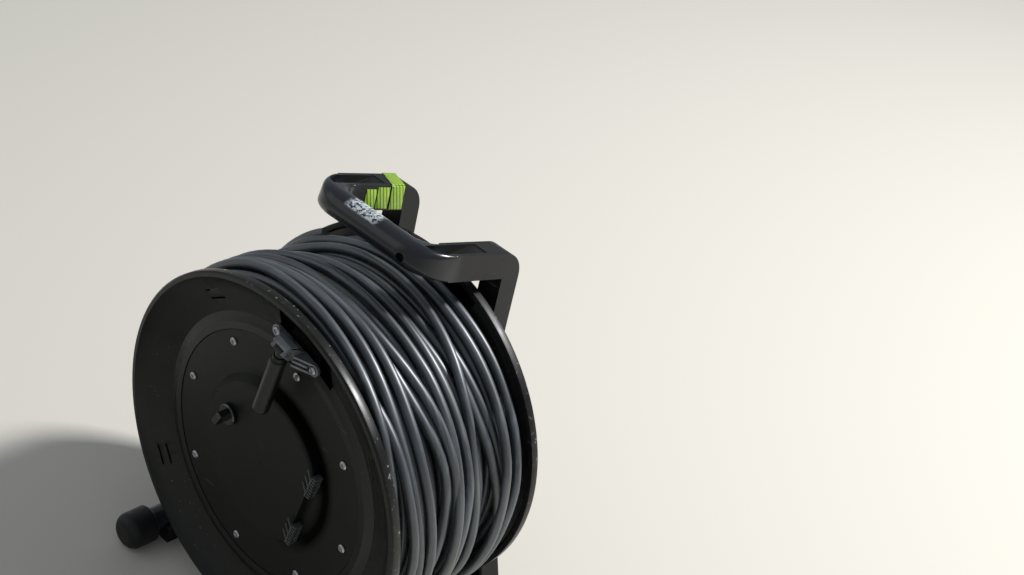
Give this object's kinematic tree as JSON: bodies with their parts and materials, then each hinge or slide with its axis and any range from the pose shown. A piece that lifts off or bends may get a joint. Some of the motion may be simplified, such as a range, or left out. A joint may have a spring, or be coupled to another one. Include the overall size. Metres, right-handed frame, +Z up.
{
  "type": "cable drum",
  "caption": "Cable drum full of wound cable, turning on the axle of a one-sided plastic frame with a round carrying grip and splayed legs.",
  "frame": {"origin": "middle of the object's bounding box on the floor, below the drum", "axes": "+Z up, +Y along the axle from the crank side to the frame side, +X to the right seen from the crank side"},
  "size_m": [0.482, 0.324, 0.5765],
  "materials": {
    "frame_plastic": "satin",
    "tube_plastic": "satin",
    "cap_rubber": "matte",
    "drum_plastic": "satin",
    "cover_plastic": "satin",
    "bracket_plastic": "matte",
    "grip_plastic": "satin",
    "knob_plastic": "gloss",
    "screw_steel": "satin",
    "steel": "satin",
    "cable_rubber": "matte"
  },
  "bodies": {
    "frame": {"side_frame": "frame_plastic", "foot_tube_right": "tube_plastic", "foot_tube_left": "tube_plastic", "foot_cap_right": "cap_rubber", "foot_cap_left": "cap_rubber", "axle": "steel", "axle_nut": "steel"},
    "drum": {"front_flange": "drum_plastic", "rear_flange": "drum_plastic", "drum_core": "drum_plastic", "cover_disc": "cover_plastic", "cover_screw_1": "screw_steel", "cover_screw_2": "screw_steel", "cover_screw_3": "screw_steel", "cover_screw_4": "screw_steel", "cover_screw_5": "screw_steel", "cover_screw_6": "screw_steel", "cover_screw_7": "screw_steel", "cover_screw_8": "screw_steel", "crank_bracket": "bracket_plastic", "bracket_screw_1": "screw_steel", "bracket_screw_2": "screw_steel", "crank_pin": "steel", "comb_clip_upper": "grip_plastic", "comb_clip_lower": "grip_plastic", "cable_winding": "cable_rubber"},
    "crank": {"crank_grip": "grip_plastic"},
    "knob": {"lock_knob": "knob_plastic"}
  },
  "joints": [
    {"name": "drum_spin", "type": "hinge", "parent": "frame", "child": "drum", "pos_m": [0, 0.131, 0.264], "axis": [0, 1, 0], "continuous": true},
    {"name": "crank_fold", "type": "hinge", "parent": "drum", "child": "crank", "pos_m": [0.03438, -0.141, 0.46423], "axis": [-0.9781, 0, 0.2079], "range_deg": [0, 90]},
    {"name": "knob_turn", "type": "hinge", "parent": "drum", "child": "knob", "pos_m": [-0.06237, -0.117, 0.29578], "axis": [0, 1, 0], "range_deg": [0, 90]}
  ]
}
